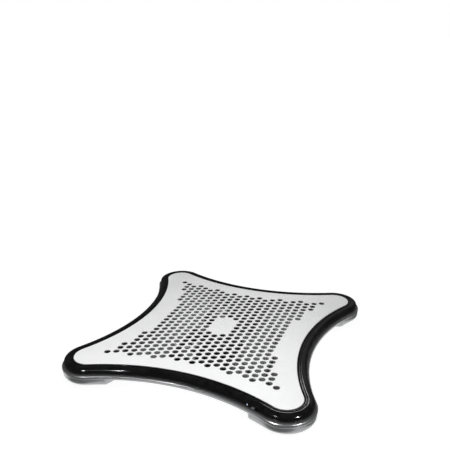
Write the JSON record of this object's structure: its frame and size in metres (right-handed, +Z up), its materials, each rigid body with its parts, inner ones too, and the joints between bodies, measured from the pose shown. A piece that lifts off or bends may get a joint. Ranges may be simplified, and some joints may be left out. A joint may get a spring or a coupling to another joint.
{
  "type": "laptop cooling pad",
  "caption": "Four-pointed notebook cooling pad: perforated aluminium plate in a glossy black rim over a silver-grey tray with corner feet, air pulled up by flat fans.",
  "frame": {"origin": "on the table, under the middle of the pad", "axes": "+Z up, +X to the user's right, +Y away from the user"},
  "size_m": [0.3096, 0.306, 0.022],
  "materials": {
    "plate": "satin, fine brushed grain",
    "rim": "high gloss black",
    "shell": "glossy silver grey",
    "foot_rubber": "matt",
    "fan_plastic": "semi-matt moulded black",
    "steel": "zinc-plated",
    "brass": "sintered",
    "motor_core": "enamelled windings on laminated core",
    "magnet": "ferrite",
    "circuit": "solder mask green",
    "moulding": "moulded black",
    "connector": "natural nylon",
    "switch_cap": "pale grey",
    "lamp": "tinted clear",
    "lead": "flexible sleeve"
  },
  "bodies": {
    "housing": {"top_plate": "plate", "rim_frame": "rim", "bottom_shell": "shell", "foot_pad_back_right": "foot_rubber", "foot_pad_back_left": "foot_rubber", "foot_pad_front_left": "foot_rubber", "foot_pad_front_right": "foot_rubber", "case_screw_back_right": "steel", "case_screw_back_left": "steel", "case_screw_front_left": "steel", "case_screw_front_right": "steel", "fan_frame_left": "fan_plastic", "fan_bearing_left": "brass", "fan_stator_left": "motor_core", "fan_circuit_left": "circuit", "fan_screw_left_1": "steel", "fan_screw_left_2": "steel", "fan_screw_left_3": "steel", "fan_screw_left_4": "steel", "fan_left_header": "connector", "fan_left_plug": "connector", "fan_lead_left": "lead", "fan_frame_right": "fan_plastic", "fan_bearing_right": "brass", "fan_stator_right": "motor_core", "fan_circuit_right": "circuit", "fan_screw_right_1": "steel", "fan_screw_right_2": "steel", "fan_screw_right_3": "steel", "fan_screw_right_4": "steel", "fan_right_header": "connector", "fan_right_plug": "connector", "fan_lead_right": "lead", "control_board": "circuit", "socket_board": "circuit", "board_screw_1": "steel", "board_screw_2": "steel", "power_socket_shell": "steel", "speed_switch_body": "moulding", "power_socket_tongue": "moulding", "status_lamp": "lamp", "power_header": "connector", "power_plug": "connector", "power_lead": "lead"},
    "fan_left": {"fan_rotor_left": "fan_plastic", "fan_shaft_left": "steel", "fan_magnet_left": "magnet"},
    "fan_right": {"fan_rotor_right": "fan_plastic", "fan_shaft_right": "steel", "fan_magnet_right": "magnet"},
    "switch": {"speed_switch_thumb": "switch_cap"}
  },
  "joints": [
    {"name": "fan_left_spin", "type": "hinge", "parent": "housing", "child": "fan_left", "pos_m": [-0.0526, 0, 0.015], "axis": [0, 0, 1], "continuous": true},
    {"name": "fan_right_spin", "type": "hinge", "parent": "housing", "child": "fan_right", "pos_m": [0.0526, 0, 0.015], "axis": [0, 0, 1], "continuous": true},
    {"name": "speed_switch_slide", "type": "slide", "parent": "housing", "child": "switch", "axis": [-0.3622, -0.9321, 0], "range_m": [0, 0.006]}
  ]
}
